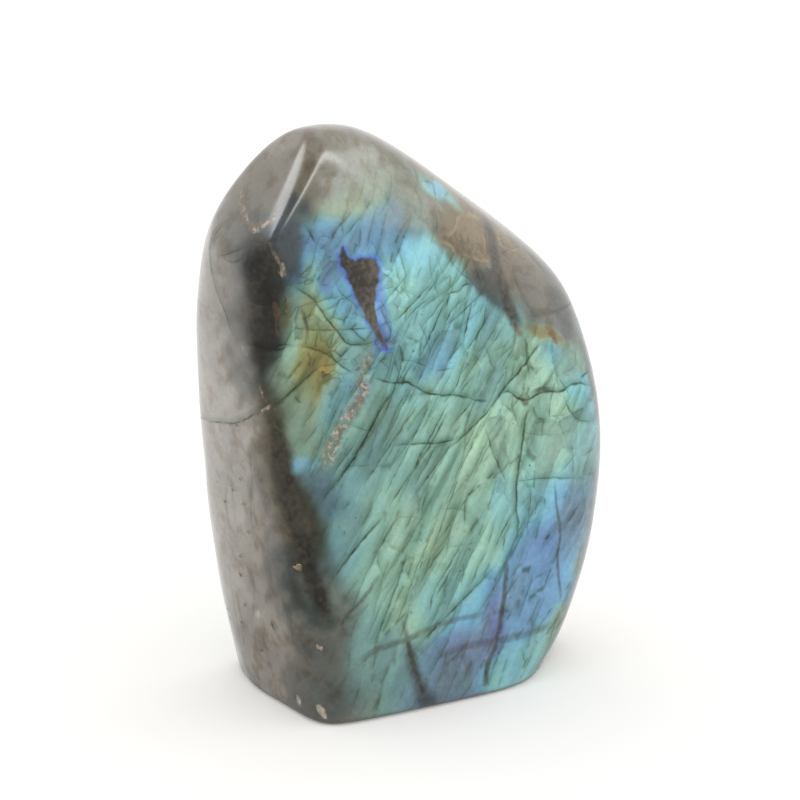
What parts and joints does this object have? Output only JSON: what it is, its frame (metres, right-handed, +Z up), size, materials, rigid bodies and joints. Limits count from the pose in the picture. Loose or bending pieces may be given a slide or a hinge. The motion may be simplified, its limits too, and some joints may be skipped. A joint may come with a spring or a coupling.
{
  "type": "labradorite freeform",
  "caption": "Upright hand-polished labradorite freeform with a blue-green flash on its broad show face, standing on a flat sawn base.",
  "frame": {"origin": "middle of the bounding box, on the plane of the flat sawn base", "axes": "+Z up through the blunt top, -Y out of the broad show face, +X to the right of someone who looks at the show face"},
  "size_m": [0.0892, 0.0502, 0.1273],
  "materials": {
    "polished_labradorite": "polished"
  },
  "bodies": {
    "root": {"stone": "polished_labradorite"}
  },
  "joints": []
}
